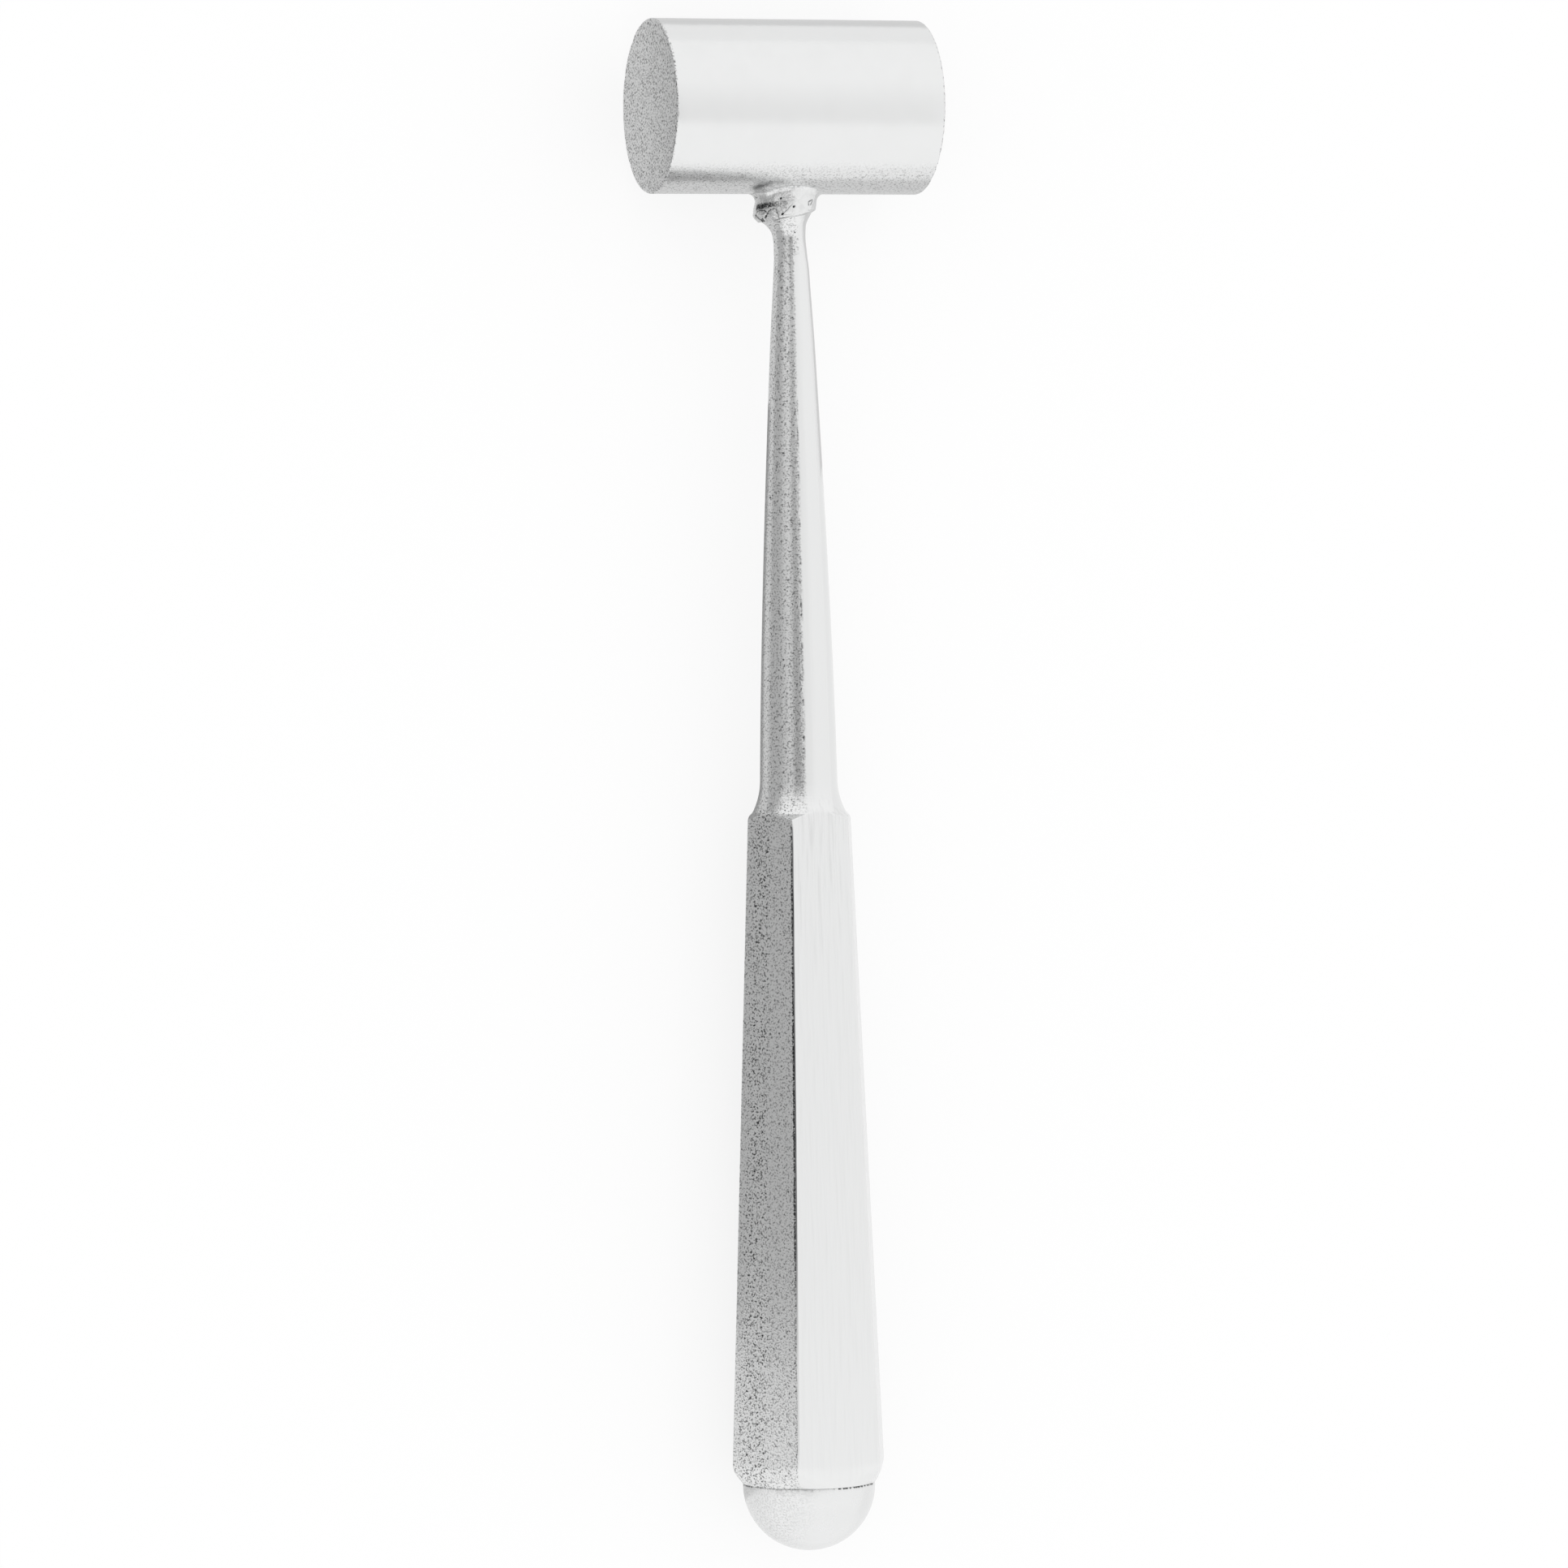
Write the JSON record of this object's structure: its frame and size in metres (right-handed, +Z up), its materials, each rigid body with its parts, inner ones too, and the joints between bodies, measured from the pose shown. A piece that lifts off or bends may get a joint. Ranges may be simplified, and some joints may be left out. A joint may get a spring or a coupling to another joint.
{
  "type": "surgical mallet",
  "caption": "Solid cylindrical steel striking head welded to a tapered round shaft with a six-sided tapered grip and domed end cap.",
  "frame": {"origin": "on the table, at the middle of the outline of the mallet as it lies at rest", "axes": "+X along the head towards its right striking face, +Y along the handle from the grip towards the head, +Z up from the table"},
  "size_m": [0.0348, 0.19, 0.0216],
  "materials": {
    "head_steel": "satin, ground striking faces",
    "weld_steel": "blended weld bead with pits",
    "handle_steel": "satin, belt ground along the flats",
    "cap_steel": "satin, turned"
  },
  "bodies": {
    "root": {"head": "head_steel", "neck_weld": "weld_steel", "handle": "handle_steel", "end_cap": "cap_steel"}
  },
  "joints": []
}
